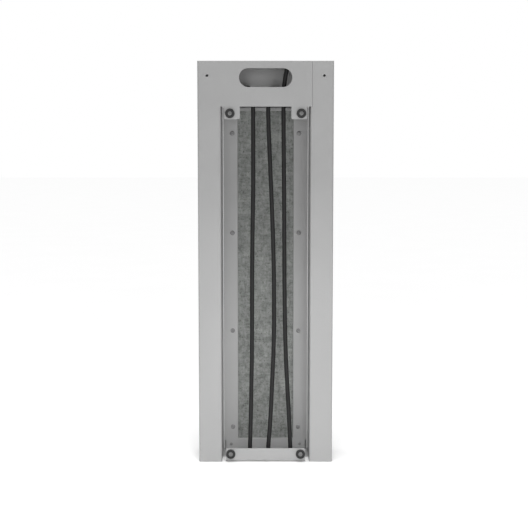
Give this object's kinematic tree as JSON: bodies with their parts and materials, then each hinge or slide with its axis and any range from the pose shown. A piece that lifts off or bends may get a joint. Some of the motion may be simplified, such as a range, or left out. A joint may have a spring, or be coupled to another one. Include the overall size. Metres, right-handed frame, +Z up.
{
  "type": "vertical cable tray",
  "caption": "Upright steel column with an open, felt-backed cable bay, a header with an oblong cable port and magnets for a lift-off cover.",
  "frame": {"origin": "on the floor, in the middle of the column's width and depth", "axes": "+Z up along the column, -Y towards the open front of the bay, +X to the right seen from the front"},
  "size_m": [0.2154, 0.0889, 0.643],
  "materials": {
    "powder_coat": "fine satin powder coat",
    "frame_paint": "fine matte powder coat",
    "felt": "mottled grey needle felt",
    "magnet_rubber": "matte black rubber coat",
    "screw_steel": "dull zinc plate",
    "lead_jacket": "soft black cable jacket",
    "black_plastic": "fine matte moulded plastic"
  },
  "bodies": {
    "root": {"left_upright_header": "powder_coat", "right_upright": "powder_coat", "rear_panel": "powder_coat", "top_plate": "powder_coat", "floor_plate": "powder_coat", "base_bracket": "powder_coat", "back_frame": "frame_paint", "felt_liner": "felt", "magnet_ring_top_left": "magnet_rubber", "magnet_ring_top_right": "magnet_rubber", "magnet_ring_base_left": "magnet_rubber", "magnet_ring_base_right": "magnet_rubber", "magnet_screw_top_left": "screw_steel", "magnet_screw_top_right": "screw_steel", "magnet_screw_base_left": "screw_steel", "magnet_screw_base_right": "screw_steel", "frame_screw_left_1": "screw_steel", "frame_screw_left_2": "screw_steel", "frame_screw_left_3": "screw_steel", "frame_screw_left_4": "screw_steel", "frame_screw_right_1": "screw_steel", "frame_screw_right_2": "screw_steel", "frame_screw_right_3": "screw_steel", "frame_screw_right_4": "screw_steel", "base_screw_left": "screw_steel", "base_screw_right": "screw_steel", "lead_left": "lead_jacket", "lead_middle": "lead_jacket", "lead_right": "lead_jacket", "coupler_left": "black_plastic", "coupler_middle": "black_plastic", "coupler_right": "black_plastic", "terminal_block": "black_plastic"}
  },
  "joints": []
}
